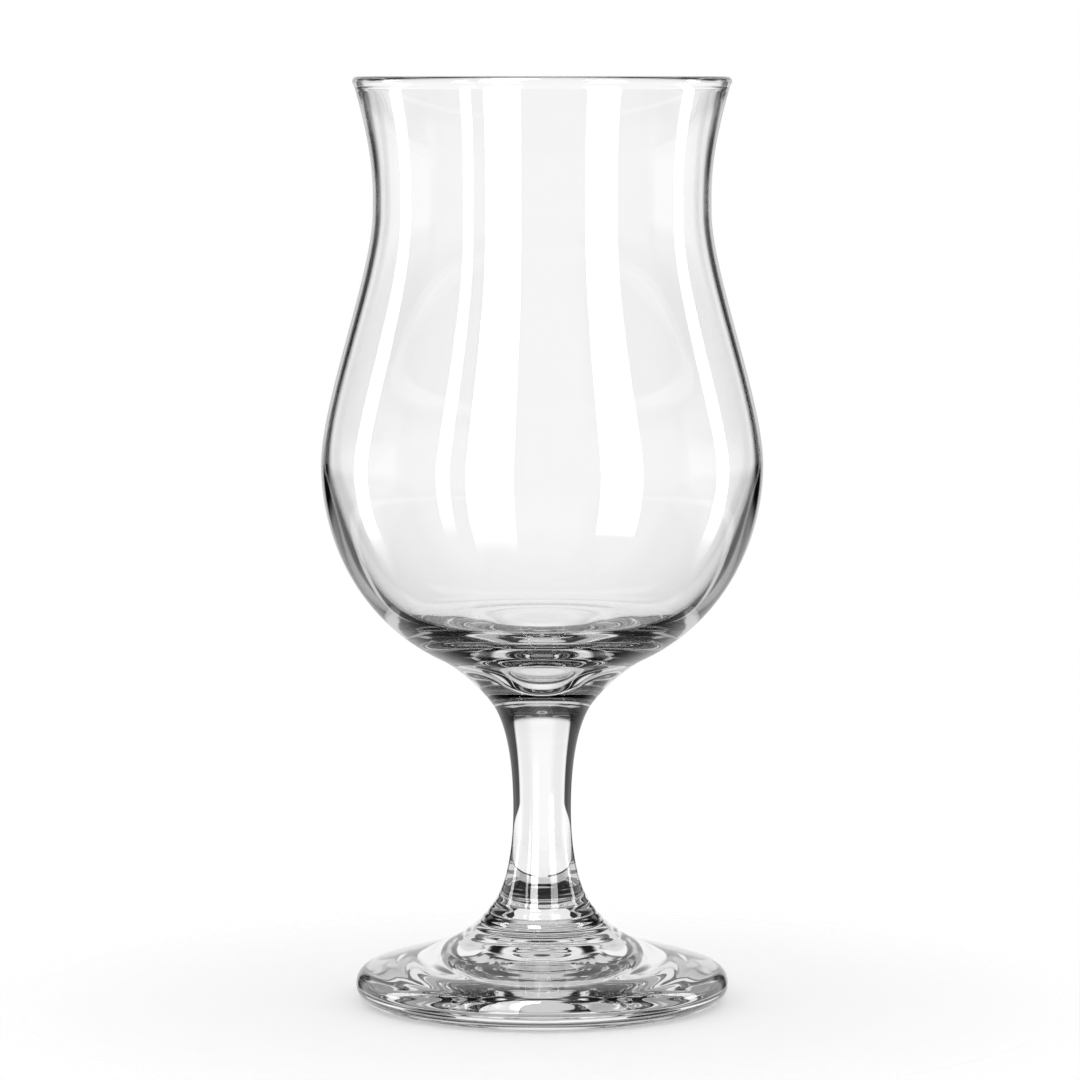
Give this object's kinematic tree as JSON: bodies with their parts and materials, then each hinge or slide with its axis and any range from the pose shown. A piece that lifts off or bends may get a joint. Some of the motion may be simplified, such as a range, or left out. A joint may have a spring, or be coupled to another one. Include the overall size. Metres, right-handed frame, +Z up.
{
  "type": "poco grande glass",
  "caption": "Footed cocktail glass in clear glass, with a flared lip, pinched waist and round belly on a short stem and wide round foot, for iced mixed drinks.",
  "frame": {"origin": "centre of the foot, on the table that the glass stands on", "axes": "+Z up along the axis of the glass; the glass is round, so +X and +Y are any two level directions"},
  "size_m": [0.0836, 0.0836, 0.1753],
  "materials": {
    "clear_glass": "clear, colourless, fire-polished"
  },
  "bodies": {
    "root": {"bowl": "clear_glass", "stem": "clear_glass", "foot": "clear_glass"}
  },
  "joints": []
}
